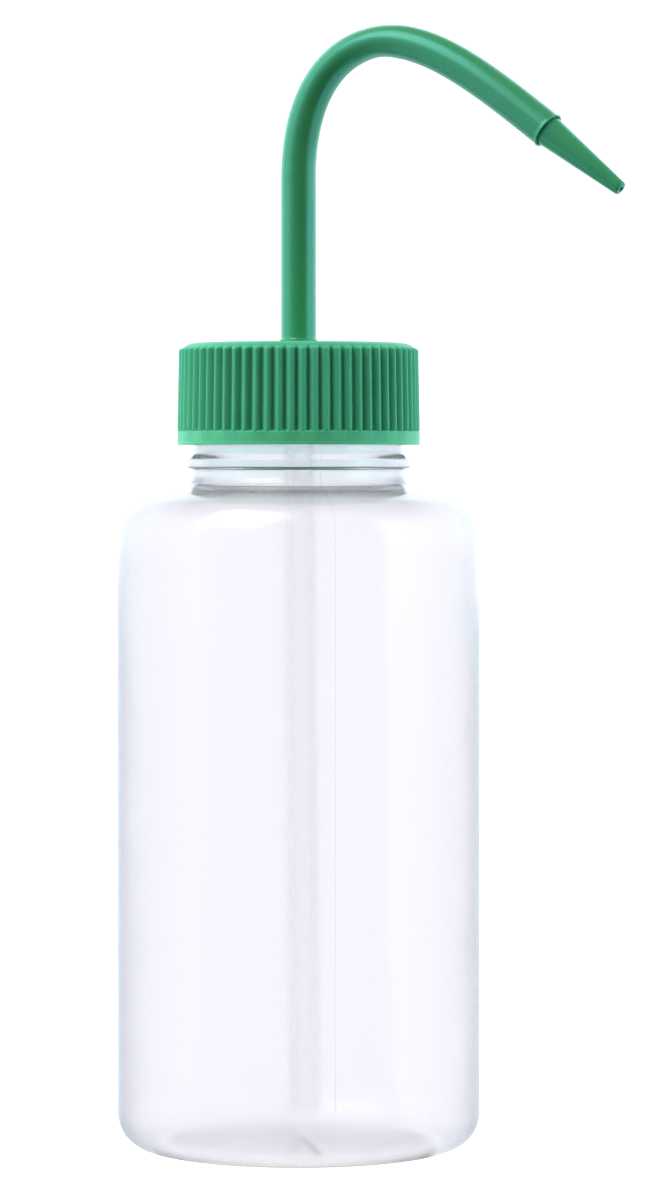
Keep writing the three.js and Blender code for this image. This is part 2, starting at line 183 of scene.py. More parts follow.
LIP_BORE = 3.5
LIP_LENGTH = 0.8
LIP_PROFILE = (  # distance along the lip, in its lengths, and share of its full flare
    (-1.0, 0.0),
    (-0.75, 0.1),
    (-0.55, 0.35),
    (-0.4, 0.75),
    (-0.25, 1.0),
    (-0.1, 1.0),
    (0.0, 0.8),
)
SPOUT_SIDES = 72
STEM_ROW = 1.2  # longest row on the straight stem

# Jet tip, along its own axis from the spout's outlet
JET_LENGTH = 20.36
JET_BASE_RADIUS = 3.3
JET_END_RADIUS = 1.55
JET_END_LENGTH = 1.2  # the rounded end of the cone
JET_FOOT_LENGTH = 0.6  # and its straight foot
JET_ROW = 0.6
JET_ROUNDING = 0.5
JET_ORIFICE = 0.5
JET_SPIGOT_RADIUS = 2.8
JET_SPIGOT_BORE = 1.9
JET_SPIGOT_LENGTH = 6.0
JET_SEAT = 0.6

# Dip tube
DIP_RADIUS = dip_high.x
DIP_BORE = 2.1
DIP_SOCKET = 3.1
DIP_SOCKET_TOP = 168.3
DIP_ROW = 5.0
DIP_LEAN = 1.25  # how far its foot is off the axis
DIP_LEAN_TURN = math.radians(27)
DIP_LEAN_POWER = 1.3  # 1 is a straight lean, and more bends it towards the foot

# ------------------------------------------------------------------ outlines


def arc(centre, radius, start, end, steps):
    """Points on an arc in the radius-height plane, both ends included."""
    angles = np.linspace(start, end, steps + 1)
    return [(centre[0] + radius * math.cos(a), centre[1] + radius * math.sin(a)) for a in angles]


def box_section(inner, outer, low, high, start):
    """A ring's rectangular section, which starts and ends at a height on its bore."""
    return [
        (inner, start),
        (inner, low),
        (outer, low),
        (outer, high),
        (inner, high),
        (inner, start),
    ]


def filled(outline, longest):
    """The outline with points added, so that no step is longer than longest."""
    points = [outline[0]]
    for start, end in zip(outline, outline[1:]):
        steps = max(1, math.ceil(math.dist(start, end) / longest))
        for i in range(1, steps + 1):
            share = i / steps
            points.append(tuple(a + (b - a) * share for a, b in zip(start, end)))
    return points


def rounded(outline, radius, steps=4):
    """The outline with each inner corner replaced by a curve that starts radius before it."""
    points = [outline[0]]
    for before, corner, after in zip(outline, outline[1:], outline[2:]):
        before, corner, after = (np.array(p, float) for p in (before, corner, after))
        back = before - corner
        ahead = after - corner
        reach = min(radius, 0.45 * np.linalg.norm(back), 0.45 * np.linalg.norm(ahead))
        start = corner + back / np.linalg.norm(back) * reach
        end = corner + ahead / np.linalg.norm(ahead) * reach
        for share in np.linspace(0, 1, steps + 1):
            curve = (1 - share) ** 2 * start + 2 * share * (1 - share) * corner + share**2 * end
            points.append(tuple(curve))
    points.append(outline[-1])
    return points


def smooth_step(value, start, end):
    """0 before start, 1 after end, and an even S between them."""
    share = np.clip((value - start) / (end - start), 0, 1)
    return share * share * (3 - 2 * share)


# ------------------------------------------------------------------ meshes


def shade_smooth(mesh):
    mesh.polygons.foreach_set("use_smooth", [True] * len(mesh.polygons))
    mesh.update()


def finished_mesh(name, vertices, faces):
    """A smooth-shaded object from vertices in millimetres."""
    mesh = bpy.data.meshes.new(name)
    mesh.from_pydata((np.asarray(vertices, float) * MM).tolist(), [], faces)
    mesh.validate()
    shade_smooth(mesh)
    piece = bpy.data.objects.new(name, mesh)
    bpy.context.scene.collection.objects.link(piece)
    return piece


def grid_faces(rows, columns, closed):
    """Quads over rows of points, each a closed ring. Closed joins the last row to the first."""
    faces = []
    for row in range(rows if closed else rows - 1):
        here = row * columns
        there = ((row + 1) % rows) * columns
        for column in range(columns):
            beside = (column + 1) % columns
            faces.append((here + column, here + beside, there + beside, there + column))
    return faces


def skinned(name, grid, closed):
    """A piece skinned over a grid of points, rows by columns by 3. An open grid gets a pole at
    each end, in the middle of its end row."""
    rows, columns, _ = grid.shape
    vertices = grid.reshape(-1, 3)
    faces = grid_faces(rows, columns, closed)
    if not closed:
        first, last = rows * columns, rows * columns + 1
        vertices = np.vstack([vertices, grid[0].mean(0), grid[-1].mean(0)])
        end = (rows - 1) * columns
        for column in range(columns):
            beside = (column + 1) % columns
            faces.append((first, beside, column))
            faces.append((last, end + column, end + beside))
    return finished_mesh(name, vertices, faces)


def angles_round(count):
    """Evenly spaced angles round a circle, as one row."""
    return np.linspace(0, FULL_TURN, count, endpoint=False)[None, :]


def spun(outline, angles):
    """The radius and the height of an outline at each angle, both rows by columns."""
    return outline[:, 0:1] + 0 * angles, outline[:, 1:2] + 0 * angles


def turned_grid(radii, heights, angles):
    """Points of a turned surface: radii and heights are rows by columns."""
    return np.stack([radii * np.cos(angles), radii * np.sin(angles), heights], axis=-1)


def thread_height(angles, heights, start):
    """How much of its full depth a helical ridge has at each place, from 0 to 1."""
    total = np.zeros(np.broadcast(angles, heights).shape)
    for lap in range(math.ceil(THREAD_TURNS) + 1):
        along = np.mod(angles, FULL_TURN) + lap * FULL_TURN
        middle = start + THREAD_PITCH * along / FULL_TURN
        from_end = np.minimum(along, THREAD_TURNS * FULL_TURN - along)
        rise = smooth_step(from_end, 0, THREAD_RUNOUT)
        flank = smooth_step(-np.abs(heights - middle), -THREAD_ROOT / 2, -THREAD_CREST / 2)
        total = np.maximum(total, rise * flank)
    return total


# ------------------------------------------------------------------ materials


def material(name):
    """A new material with its node tree, and its Principled shader."""
    made = bpy.data.materials.new(name)
    made.use_nodes = True
    tree = made.node_tree
    shader = next(n for n in tree.nodes if n.type == "BSDF_PRINCIPLED")
    return made, tree, shader


def node(tree, kind, inputs=(), **settings):
    """Adds a node, sets its properties, and fills its inputs with values or links."""
    made = tree.nodes.new(kind)
    for key, value in settings.items():
        setattr(made, key, value)
    for socket, value in dict(inputs).items():
        if isinstance(value, bpy.types.NodeSocket):
            tree.links.new(value, made.inputs[socket])
        else:
            made.inputs[socket].default_value = value
    return made


def object_coordinates(tree):
    return node(tree, "ShaderNodeTexCoord").outputs["Object"]


def stretched(tree, scale):
    """Object coordinates, in metres, times a scale along each axis."""
    return node(
        tree,
        "ShaderNodeMapping",
        {"Vector": object_coordinates(tree), "Scale": scale},
    ).outputs["Vector"]


def grain(tree, vector, scale, detail=3.0, roughness=0.5):
    return node(
        tree,
        "ShaderNodeTexNoise",
        {"Vector": vector, "Scale": scale, "Detail": detail, "Roughness": roughness},
    ).outputs["Fac"]


def spread(tree, value, low, high, start=0.0, end=1.0):
    """Maps a value from start..end to low..high."""
    return node(
        tree,
        "ShaderNodeMapRange",
        {"Value": value, "From Min": start, "From Max": end, "To Min": low, "To Max": high},
    ).outputs["Result"]


def relief(tree, height, depth):
    """The normal of a surface that a grain raises by up to depth millimetres."""
    inputs = {"Height": height, "Distance": depth * MM, "Strength": 1.0}
    return node(tree, "ShaderNodeBump", inputs).outputs["Normal"]


def blended(tree, share, first, second):
    """A colour between two colours."""
    mixer = node(tree, "ShaderNodeMix", data_type="RGBA")
    for socket, value in (("Factor", share), ("A", first), ("B", second)):
        slot = next(s for s in mixer.inputs if s.name == socket and s.enabled)
        if isinstance(value, bpy.types.NodeSocket):
            tree.links.new(value, slot)
        else:
            slot.default_value = value
    return next(s for s in mixer.outputs if s.enabled)


def grey(level):
    return (level, level, level, 1)


MIDDLE_OF_NOISE = (0.3, 0.7)  # where nearly all of a noise texture's values lie
SKIN_SCATTER = (0.3, 1.0, 0.6)  # green light travels furthest inside green plastic
SKIN_DEPTH = 0.8

BODY_TINTS = (0.955, 0.945, 0.985, 1), (0.968, 0.960, 0.995, 1)
BODY_HAZE = (0.14, 0.18)
NECK_TINT = (0.85, 0.965, 1.0, 1)
NECK_HAZE = 0.03  # what the neck has on top of the body's haze
HAZE_HEIGHTS = (137.0, 139.0)
TINT_HEIGHTS = (137.0, 148.0)

TUBING_TINTS = (0.985, 0.985, 0.99, 1), (1.0, 1.0, 1.0, 1)
TUBING_HAZE = (0.15, 0.20)
POLYTHENE_IOR = 1.51

SEAL_TINTS = (0.80, 0.82, 0.85, 1), (0.88, 0.89, 0.91, 1)
SEAL_ROUGHNESS = (0.5, 0.65)

GLOSS_TINT = (0.30, 1.0, 0.95, 1)
CAP_GREENS = (0.085, 0.500, 0.235, 1), (0.105, 0.570, 0.285, 1)
# Painted shade: a darker green for the shade deep in the rib grooves.
GROOVE_SHADE_GREEN = (0.060, 0.330, 0.165, 1)
# Painted light: a paler green where light shows through the band's thin wall.
BAND_LIGHT_GREEN = (0.120, 0.650, 0.275, 1)
CAP_ROUGHNESS = (0.46, 0.62)

TUBE_GREENS = (0.050, 0.325, 0.108, 1), (0.064, 0.375, 0.133, 1)
TUBE_ROUGHNESS = (0.28, 0.36)


def settle(shader, values):
    """Sets inputs of a shader that are the same all over."""
    for socket, value in values.items():
        shader.inputs[socket].default_value = value


def natural_polythene():
    """Milky blown polythene: light passes through it and blurs, and its surface is waxy."""
    made, tree, shader = material("natural_polythene")
    even = object_coordinates(tree)
    height = node(tree, "ShaderNodeSeparateXYZ", {"Vector": even}).outputs["Z"]
    clouds = grain(tree, even, 60.0, 2.0)
    speckle = grain(tree, even, 900.0, 4.0)
    # The neck is thicker than the body, so it is hazier and bluer.
    hazy, tinted = (
        spread(tree, height, 0.0, 1.0, start * MM, end * MM)
        for start, end in (HAZE_HEIGHTS, TINT_HEIGHTS)
    )
    body_tint = blended(tree, clouds, *BODY_TINTS)
    tree.links.new(blended(tree, tinted, body_tint, NECK_TINT), shader.inputs["Base Color"])
    haze = spread(tree, clouds, *BODY_HAZE, *MIDDLE_OF_NOISE)
    rough = node(
        tree, "ShaderNodeMath", {0: hazy, 1: NECK_HAZE, 2: haze}, operation="MULTIPLY_ADD"
    ).outputs[0]
    tree.links.new(rough, shader.inputs["Roughness"])
    tree.links.new(relief(tree, speckle, 0.003), shader.inputs["Normal"])
    settle(shader, {"IOR": POLYTHENE_IOR, "Transmission Weight": 1.0})
    return made


def natural_tubing():
    """Extruded natural tube: the same polythene, streaked along its length."""
    made, tree, shader = material("natural_tubing")
    streaks = grain(tree, stretched(tree, (1500.0, 1500.0, 20.0)), 1.0, 3.0)
    tree.links.new(blended(tree, streaks, *TUBING_TINTS), shader.inputs["Base Color"])
    rough = spread(tree, streaks, *TUBING_HAZE, *MIDDLE_OF_NOISE)
    tree.links.new(rough, shader.inputs["Roughness"])
    tree.links.new(relief(tree, streaks, 0.01), shader.inputs["Normal"])
    settle(shader, {"IOR": POLYTHENE_IOR, "Transmission Weight": 1.0})
    return made


def seal_polythene():
    """Soft white polythene with a fine speckle."""
    made, tree, shader = material("seal_polythene")
    speckle = grain(tree, object_coordinates(tree), 1200.0, 3.0)
    tree.links.new(blended(tree, speckle, *SEAL_TINTS), shader.inputs["Base Color"])
    tree.links.new(spread(tree, speckle, *SEAL_ROUGHNESS), shader.inputs["Roughness"])
    tree.links.new(relief(tree, speckle, 0.01), shader.inputs["Normal"])
    return made


def green_cap_plastic():
    """Moulded green plastic with a fine grain, painted paler where light shows through the band's
    thin wall and painted darker for the shade deep in its grooves."""
    made, tree, shader = material("green_cap_plastic")
    even = object_coordinates(tree)
    pores = grain(tree, even, 2600.0, 3.0)
    clouds = grain(tree, even, 150.0, 2.0)
    tint = blended(tree, clouds, *CAP_GREENS)
    # Over the plastic's own green: painted light through the thin band, then painted shade in the
    # grooves.
    for mark, colour in (("band_light_through", BAND_LIGHT_GREEN), ("groove_shade", GROOVE_SHADE_GREEN)):
        share = node(tree, "ShaderNodeAttribute", attribute_name=mark).outputs["Fac"]
        tint = blended(tree, share, tint, colour)
    tree.links.new(tint, shader.inputs["Base Color"])
    rough = spread(tree, pores, *CAP_ROUGHNESS, *MIDDLE_OF_NOISE)
    tree.links.new(rough, shader.inputs["Roughness"])
    tree.links.new(relief(tree, pores, 0.035), shader.inputs["Normal"])
    settle(
        shader,
        {
            "IOR": 1.5,
            "Specular IOR Level": 0.6,
            "Specular Tint": GLOSS_TINT,
            "Subsurface Weight": 0.12,
            "Subsurface Radius": SKIN_SCATTER,
            "Subsurface Scale": SKIN_DEPTH * MM,
        },
    )
    return made


def green_tube_plastic():
    """Extruded green tube with a fine grain and a sharper gloss than the cap."""
    made, tree, shader = material("green_tube_plastic")
    even = object_coordinates(tree)
    pores = grain(tree, even, 2200.0, 4.0, 0.6)
    clouds = grain(tree, even, 220.0, 3.0)
    tree.links.new(blended(tree, clouds, *TUBE_GREENS), shader.inputs["Base Color"])
    rough = spread(tree, pores, *TUBE_ROUGHNESS, *MIDDLE_OF_NOISE)
    tree.links.new(rough, shader.inputs["Roughness"])
    tree.links.new(relief(tree, pores, 0.02), shader.inputs["Normal"])
    settle(
        shader,
        {
            "IOR": 1.6,
            "Specular IOR Level": 1.0,
            "Specular Tint": GLOSS_TINT,
            "Subsurface Weight": 0.2,
            "Subsurface Radius": SKIN_SCATTER,
            "Subsurface Scale": SKIN_DEPTH * MM,
        },
    )
    return made


# ------------------------------------------------------------------ bottle


def bottle_side(inset):
    """The side from the standing ring up to the shoulder's end, moved inwards by inset, and the
    place where the shoulder's line meets the neck."""
    corner_centre = BODY_RADIUS - SHOULDER_CORNER
    crown_offset = SHOULDER_CROWN - SHOULDER_CORNER
    crown_centre = (
        corner_centre - crown_offset * math.cos(SHOULDER_CORNER_TURN),
        SHOULDER_START - crown_offset * math.sin(SHOULDER_CORNER_TURN),
    )
    crown_end = SHOULDER_CORNER_TURN + SHOULDER_CROWN_TURN
    base = arc(
        (BODY_RADIUS - BASE_CORNER, BASE_CORNER), BASE_CORNER - inset, -math.pi / 2, 0, 16
    )
    corner = arc(
        (corner_centre, SHOULDER_START),
        SHOULDER_CORNER - inset,
        0,
        SHOULDER_CORNER_TURN,
        14,
    )
    crown = arc(
        crown_centre, SHOULDER_CROWN - inset, SHOULDER_CORNER_TURN, crown_end, 6
    )
    end = crown[-1]
    foot = NECK_RADIUS + NECK_FILLET - inset
    foot_height = end[1] + (end[0] - foot) / math.tan(crown_end)
    wall = filled([base[-1], corner[0]], LONG_ROW)[1:-1]
    return base + wall + corner + crown[1:], (foot, foot_height)


def bottle_outline():
    """The wall's outline from the middle of the base, up the outside and down the inside."""
    ring_inner = BODY_RADIUS - BASE_CORNER - STANDING_RING
    shares = np.linspace(0.04, 1, 14)
    underside = [(ring_inner * s, BASE_RISE * (1 - s * s)) for s in shares]
    outside, outer_foot = bottle_side(0)
    inside, inner_foot = bottle_side(WALL)
    neck_foot = outer_foot[1] + NECK_FILLET
    inner_radius = NECK_RADIUS - NECK_WALL
    bead = [
        (NECK_RADIUS + 0.12, BEAD_BOTTOM),
        (BEAD_RADIUS, BEAD_BOTTOM + BEAD_SLOPE),
        (BEAD_RADIUS - 0.03, BEAD_TOP - 1),
        (NECK_RADIUS, BEAD_TOP),
    ]
    foot_flare = (NECK_RADIUS + 0.25, neck_foot + 0.4)
    lower_neck = rounded([outside[-1], outer_foot, foot_flare, bead[0]], FOOT_ROUNDING)
    shaped_bead = rounded(
        [lower_neck[-2], *bead, (NECK_RADIUS, BEAD_TOP + 3)], BEAD_ROUNDING
    )
    threaded = filled([(NECK_RADIUS, BEAD_TOP + 3), (NECK_RADIUS, NECK_TOP - 1)], THREAD_ROW)
    rim = rounded(
        [
            (NECK_RADIUS, NECK_TOP - 1),
            (NECK_RADIUS, NECK_TOP),
            (inner_radius, NECK_TOP),
            (inner_radius, NECK_TOP - 1),
        ],
        RIM_ROUNDING,
    )
    inner_neck = rounded(
        [
            (inner_radius, NECK_TOP - 1),
            (inner_radius, neck_foot + 0.2),
            inner_foot,
            inside[-1],
        ],
        INNER_ROUNDING,
    )
    dome = [(r, h + WALL) for r, h in reversed(underside)]
    return (
        underside
        + outside[:-1]
        + lower_neck[:-2]
        + shaped_bead[1:-1]
        + threaded
        + rim[1:]
        + filled(inner_neck, LONG_ROW)[1:]
        + inside[-2::-1]
        + dome[1:]
    )


def bottle_angles():
    """Angles round the bottle as one row, closer together where the parting line runs."""
    after = np.radians(PARTING_COLUMNS)
    near = np.concatenate([-after[:0:-1], after])
    lines = [near + PARTING_ANGLE + side for side in (0, math.pi)]
    both = np.concatenate([angles_round(BODY_COLUMNS)[0], *lines])
    both = np.sort(np.mod(both, FULL_TURN))
    keep = np.diff(both, prepend=both[-1] - FULL_TURN) > LEAST_GAP
    return both[keep][None, :]


def make_bottle():
    outline = np.array(bottle_outline())
    angles = bottle_angles()
    radii, heights = spun(outline, angles)
    rim_row = int(np.argmax(outline[:, 1]))
    outside = (np.arange(len(outline)) <= rim_row)[:, None]
    side = outside & (heights > 0.5)

    # The parting line stands proud of the outside, and fades out where the base begins.
    off_line = np.mod(angles - PARTING_ANGLE + math.pi / 2, math.pi) - math.pi / 2
    across = radii * np.sin(off_line)
    line = np.exp(-((across / PARTING_WIDTH) ** 2)) * smooth_step(heights, 1, 8)
    below_rim = 1 - smooth_step(heights, NECK_TOP - 1.2, NECK_TOP - 0.4)
    radii = radii + side * PARTING_HEIGHT * line * below_rim

    ridge = thread_height(angles, heights, NECK_THREAD_START)
    on_thread = side & (heights > BEAD_TOP + 1) & (np.abs(radii - NECK_RADIUS) < 0.5)
    radii = radii + on_thread * NECK_THREAD_DEPTH * ridge

    # A blown wall is never quite round or straight.
    on_body = smooth_step(heights, 4, 20) * (1 - smooth_step(heights, 118, 130))
    wave = sum(
        share * (np.sin(lobes * angles + phase + heights * twist) - 1)
        for lobes, phase, twist, share in BLOWN_WAVES
    )
    radii = radii + BLOWN_WAVE * on_body * wave

    # The pinched seam runs across the pushed-up base, along the parting plane.
    under = outside & (heights < BASE_RISE + 0.1) & (radii < PINCH_REACH + 3)
    inward = 1 - smooth_step(radii, PINCH_REACH - 4, PINCH_REACH)
    seam = np.exp(-((across / PINCH_WIDTH) ** 4)) * inward
    heights = heights - under * PINCH_HEIGHT * seam

    piece = skinned("bottle_wall", turned_grid(radii, heights, angles), closed=False)
    piece.data.materials.append(natural_polythene())
    return piece


# ------------------------------------------------------------------ screw cap


def cap_outline():
    """The cap's closed outline, as radii and heights: up its outside from the band's lower edge,
    over its top, round the sleeve and down its bore."""
    edge_start = CAP_TOP - CAP_EDGE_HEIGHT
    edge = [
        (
            ROOT_RADIUS_TOP - CAP_EDGE_WIDTH * (1 - math.cos(a)),
            edge_start + CAP_EDGE_HEIGHT * math.sin(a),
        )
        for a in np.linspace(0, math.pi / 2, 9)
    ]
    flash = [
        (BAND_BORE, CAP_BOTTOM + 0.25),
        (BAND_RADIUS - 0.25, CAP_BOTTOM),
        (BAND_RADIUS, CAP_BOTTOM + 0.12),
        (BAND_RADIUS - 0.12, CAP_BOTTOM + 0.45),
    ]
    ledge = (ROOT_RADIUS_BOTTOM, BAND_TOP + 0.1)
    above_ledge = (ROOT_RADIUS_BOTTOM, BAND_TOP + 1.6)
    rib_end = (ROOT_RADIUS_TOP, RIB_END_START)
    band = rounded([*flash, (BAND_RADIUS - 0.1, BAND_TOP), ledge], 0.2, 3)
    wall = filled([ledge, above_ledge], BAND_ROW)
    wall += filled([above_ledge, rib_end], RIB_ROW)[1:]
    wall += filled([rib_end, (ROOT_RADIUS_TOP, edge_start)], RIB_END_ROW)[1:]
    top = [
        (14.0, CAP_TOP),
        (HOLE_LIP_RADIUS + 0.25, CAP_TOP),
        (HOLE_LIP_RADIUS, CAP_TOP + HOLE_LIP_HEIGHT),
        (SPOUT_HOLE, CAP_TOP + HOLE_LIP_HEIGHT),
        (SPOUT_HOLE, SLEEVE_BOTTOM),
        (SLEEVE_RADIUS, SLEEVE_BOTTOM),
        (SLEEVE_RADIUS + 0.2, CAP_TOP - CAP_PLATE),
        (CAP_BORE, CAP_TOP - CAP_PLATE),
        (CAP_BORE, CAP_THREAD_TOP),
    ]
    top = rounded([edge[-1], *top], 0.12, 2)
    bore = filled([(CAP_BORE, CAP_THREAD_TOP), (CAP_BORE, BAND_TOP + 0.3)], CAP_THREAD_ROW)
    thin = rounded([bore[-1], (BAND_BORE, BAND_TOP - 0.1), flash[0]], 0.15, 2)
    return band[:-1] + wall + edge[1:] + top[1:-1] + bore + thin[1:]


def rib_tree():
    """Raises ribs round a turned wall: each is a rounded ridge with narrow grooves beside it."""
    tree = bpy.data.node_groups.new("raise_ribs", "GeometryNodeTree")
    face = tree.interface
    face.new_socket("Geometry", in_out="INPUT", socket_type="NodeSocketGeometry")
    face.new_socket("Rib Count", in_out="INPUT", socket_type="NodeSocketInt")
    face.new_socket("First Turn", in_out="INPUT", socket_type="NodeSocketFloat")
    face.new_socket("Rib Height", in_out="INPUT", socket_type="NodeSocketFloat")
    face.new_socket("Fullness", in_out="INPUT", socket_type="NodeSocketFloat")
    face.new_socket("Material", in_out="INPUT", socket_type="NodeSocketMaterial")
    face.new_socket("Geometry", in_out="OUTPUT", socket_type="NodeSocketGeometry")
    start = node(tree, "NodeGroupInput").outputs

    def number(operation, *values):
        return node(
            tree, "ShaderNodeMath", dict(enumerate(values)), operation=operation
        ).outputs[0]

    place = node(tree, "GeometryNodeInputPosition").outputs["Position"]
    parts = node(tree, "ShaderNodeSeparateXYZ", {"Vector": place}).outputs
    angle = number("SUBTRACT", number("ARCTAN2", parts["Y"], parts["X"]), start["First Turn"])
    # The wave is 1 on a rib's crest and 0 in the middle of a groove.
    half_turns = number("MULTIPLY", number("MULTIPLY", angle, start["Rib Count"]), 0.5)
    wave = number("ABSOLUTE", number("COSINE", half_turns))
    bulge = number("POWER", wave, number("MULTIPLY", start["Fullness"], 2.0))
    weight = node(
        tree, "GeometryNodeInputNamedAttribute", {"Name": "rib_share"}, data_type="FLOAT"
    ).outputs["Attribute"]
    height = number("MULTIPLY", bulge, weight)
    height = number("MULTIPLY", height, start["Rib Height"])
    flat = node(
        tree, "ShaderNodeVectorMath", {0: place, 1: (1.0, 1.0, 0.0)}, operation="MULTIPLY"
    ).outputs["Vector"]
    outward = node(
        tree, "ShaderNodeVectorMath", {0: flat}, operation="NORMALIZE"
    ).outputs["Vector"]
    shift = node(
        tree, "ShaderNodeVectorMath", {0: outward, "Scale": height}, operation="SCALE"
    ).outputs["Vector"]
    raised = node(
        tree, "GeometryNodeSetPosition", {"Geometry": start["Geometry"], "Offset": shift}
    ).outputs["Geometry"]
    real = node(tree, "GeometryNodeRealizeInstances", {"Geometry": raised}).outputs["Geometry"]
    painted = node(
        tree, "GeometryNodeSetMaterial", {"Geometry": real, "Material": start["Material"]}
    ).outputs["Geometry"]
    node(tree, "NodeGroupOutput", {"Geometry": painted})
    return tree


def lug_tree():
    """Stands small rounded stops in a ring, facing its middle."""
    tree = bpy.data.node_groups.new("ring_of_stops", "GeometryNodeTree")
    face = tree.interface
    face.new_socket("Geometry", in_out="INPUT", socket_type="NodeSocketGeometry")
    face.new_socket("Count", in_out="INPUT", socket_type="NodeSocketInt")
    face.new_socket("First Turn", in_out="INPUT", socket_type="NodeSocketFloat")
    face.new_socket("Ring Radius", in_out="INPUT", socket_type="NodeSocketFloat")
    face.new_socket("Height", in_out="INPUT", socket_type="NodeSocketFloat")
    face.new_socket("Size", in_out="INPUT", socket_type="NodeSocketVector")
    face.new_socket("Material", in_out="INPUT", socket_type="NodeSocketMaterial")
    face.new_socket("Geometry", in_out="OUTPUT", socket_type="NodeSocketGeometry")
    start = node(tree, "NodeGroupInput").outputs
    block = node(
        tree,
        "GeometryNodeMeshCube",
        {"Size": start["Size"], "Vertices X": 3, "Vertices Y": 5, "Vertices Z": 4},
    ).outputs["Mesh"]
    ring = node(
        tree,
        "GeometryNodeMeshCircle",
        {"Vertices": start["Count"], "Radius": start["Ring Radius"]},
    ).outputs["Mesh"]
    lift = node(tree, "ShaderNodeCombineXYZ", {"Z": start["Height"]}).outputs["Vector"]
    index = node(tree, "GeometryNodeInputIndex").outputs["Index"]
    step = node(
        tree, "ShaderNodeMath", {0: FULL_TURN, 1: start["Count"]}, operation="DIVIDE"
    ).outputs[0]
    turn = node(tree, "ShaderNodeMath", {0: index, 1: step}, operation="MULTIPLY").outputs[0]
    facing = node(tree, "ShaderNodeCombineXYZ", {"Z": turn}).outputs["Vector"]
    first = node(tree, "ShaderNodeCombineXYZ", {"Z": start["First Turn"]}).outputs["Vector"]
    lifted = node(
        tree, "GeometryNodeSetPosition", {"Geometry": ring, "Offset": lift}
    ).outputs["Geometry"]
    stops = node(
        tree,
        "GeometryNodeInstanceOnPoints",
        {"Points": lifted, "Instance": block, "Rotation": facing},
    ).outputs["Instances"]
    real = node(tree, "GeometryNodeRealizeInstances", {"Geometry": stops}).outputs["Geometry"]
    real = node(
        tree, "GeometryNodeTransform", {"Geometry": real, "Rotation": first}
    ).outputs["Geometry"]
    painted = node(
        tree, "GeometryNodeSetMaterial", {"Geometry": real, "Material": start["Material"]}
    ).outputs["Geometry"]
    node(tree, "NodeGroupOutput", {"Geometry": painted})
    return tree


def grown(piece, tree, inputs):
    """The piece as a plain mesh, once a Geometry Nodes tree with these inputs has shaped it."""
    modifier = piece.modifiers.new(tree.name, "NODES")
    modifier.node_group = tree
    names = {
        item.name: item.identifier
        for item in tree.interface.items_tree
        if item.item_type == "SOCKET" and item.in_out == "INPUT"
    }
    for name, value in inputs.items():
        modifier[names[name]] = value
    bpy.context.view_layer.update()
    shaped = piece.evaluated_get(bpy.context.evaluated_depsgraph_get())
    mesh = bpy.data.meshes.new_from_object(shaped)
    piece.modifiers.clear()
    piece.data = mesh
    shade_smooth(mesh)
    return piece


def joined(name, pieces):
    """One object that holds the meshes of several."""
    bpy.ops.object.select_all(action="DESELECT")
    for piece in pieces:
        piece.select_set(True)
    bpy.context.view_layer.objects.active = pieces[0]
    bpy.ops.object.join()
    pieces[0].name = name
    pieces[0].data.name = name
    return pieces[0]


def make_screw_cap():
    outline = np.array(cap_outline())
    angles = angles_round(RIB_COUNT * RIB_COLUMNS)
    radii, heights = spun(outline, angles)
    on_bore = np.abs(outline[:, 0:1] - CAP_BORE) < 0.01
    start = NECK_THREAD_START - CAP_THREAD_DROP
    radii = radii - on_bore * CAP_THREAD_DEPTH * thread_height(angles, heights, start)
    finish = green_cap_plastic()
    wall = skinned("cap_wall", turned_grid(radii, heights, angles), closed=True)

    # Ribs stand on the outer wall only, from the band up, with rounded upper ends.
    ribbed = (outline[:, 0] > ROOT_RADIUS_TOP - 0.5) & (outline[:, 1] > BAND_TOP + 0.05)
    from_top = np.clip((RIB_TOP - outline[:, 1]) / RIB_END_ROUNDING, 0, 1)
    ends = np.sqrt(1 - (1 - from_top) ** 2)
    rows = np.where(ribbed, ends, 0.0)
    mark_points(wall, "rib_share", np.repeat(rows, angles.size))
    wall = grown(
        wall,
        rib_tree(),
        {
            "Rib Count": RIB_COUNT,
            "First Turn": RIB_TURN,
            "Rib Height": RIB_HEIGHT * MM,
            "Fullness": RIB_FULLNESS,
            "Material": finish,
        },
    )

    # The tree makes the stops itself, so the mesh that it starts from only holds its place.
    stops = finished_mesh("cap_stops", [(0, 0, 0), (1, 0, 0), (0, 1, 0)], [(0, 1, 2)])
    depth = BAND_BORE - CAP_BORE + LUG_OVERLAP
    stops = grown(
        stops,
        lug_tree(),
        {
            "Count": LUG_COUNT,
            "First Turn": LUG_TURN,
            "Ring Radius": (CAP_BORE + depth / 2) * MM,
            "Height": (BAND_TOP - LUG_HEIGHT / 2) * MM,
            "Size": (depth * MM, LUG_WIDTH * MM, LUG_HEIGHT * MM),
            "Material": finish,
        },
    )
    cap = joined("cap_shell", [wall, stops])
    # Paints light through the band and shade in the grooves onto the cap's vertices.
    mark_walls(cap)
    return cap


def mark_points(piece, name, values):
    """Keeps one number for each vertex, for a node tree to read."""
    layer = piece.data.attributes.new(name, "FLOAT", "POINT")
    layer.data.foreach_set("value", values.astype(np.float32))


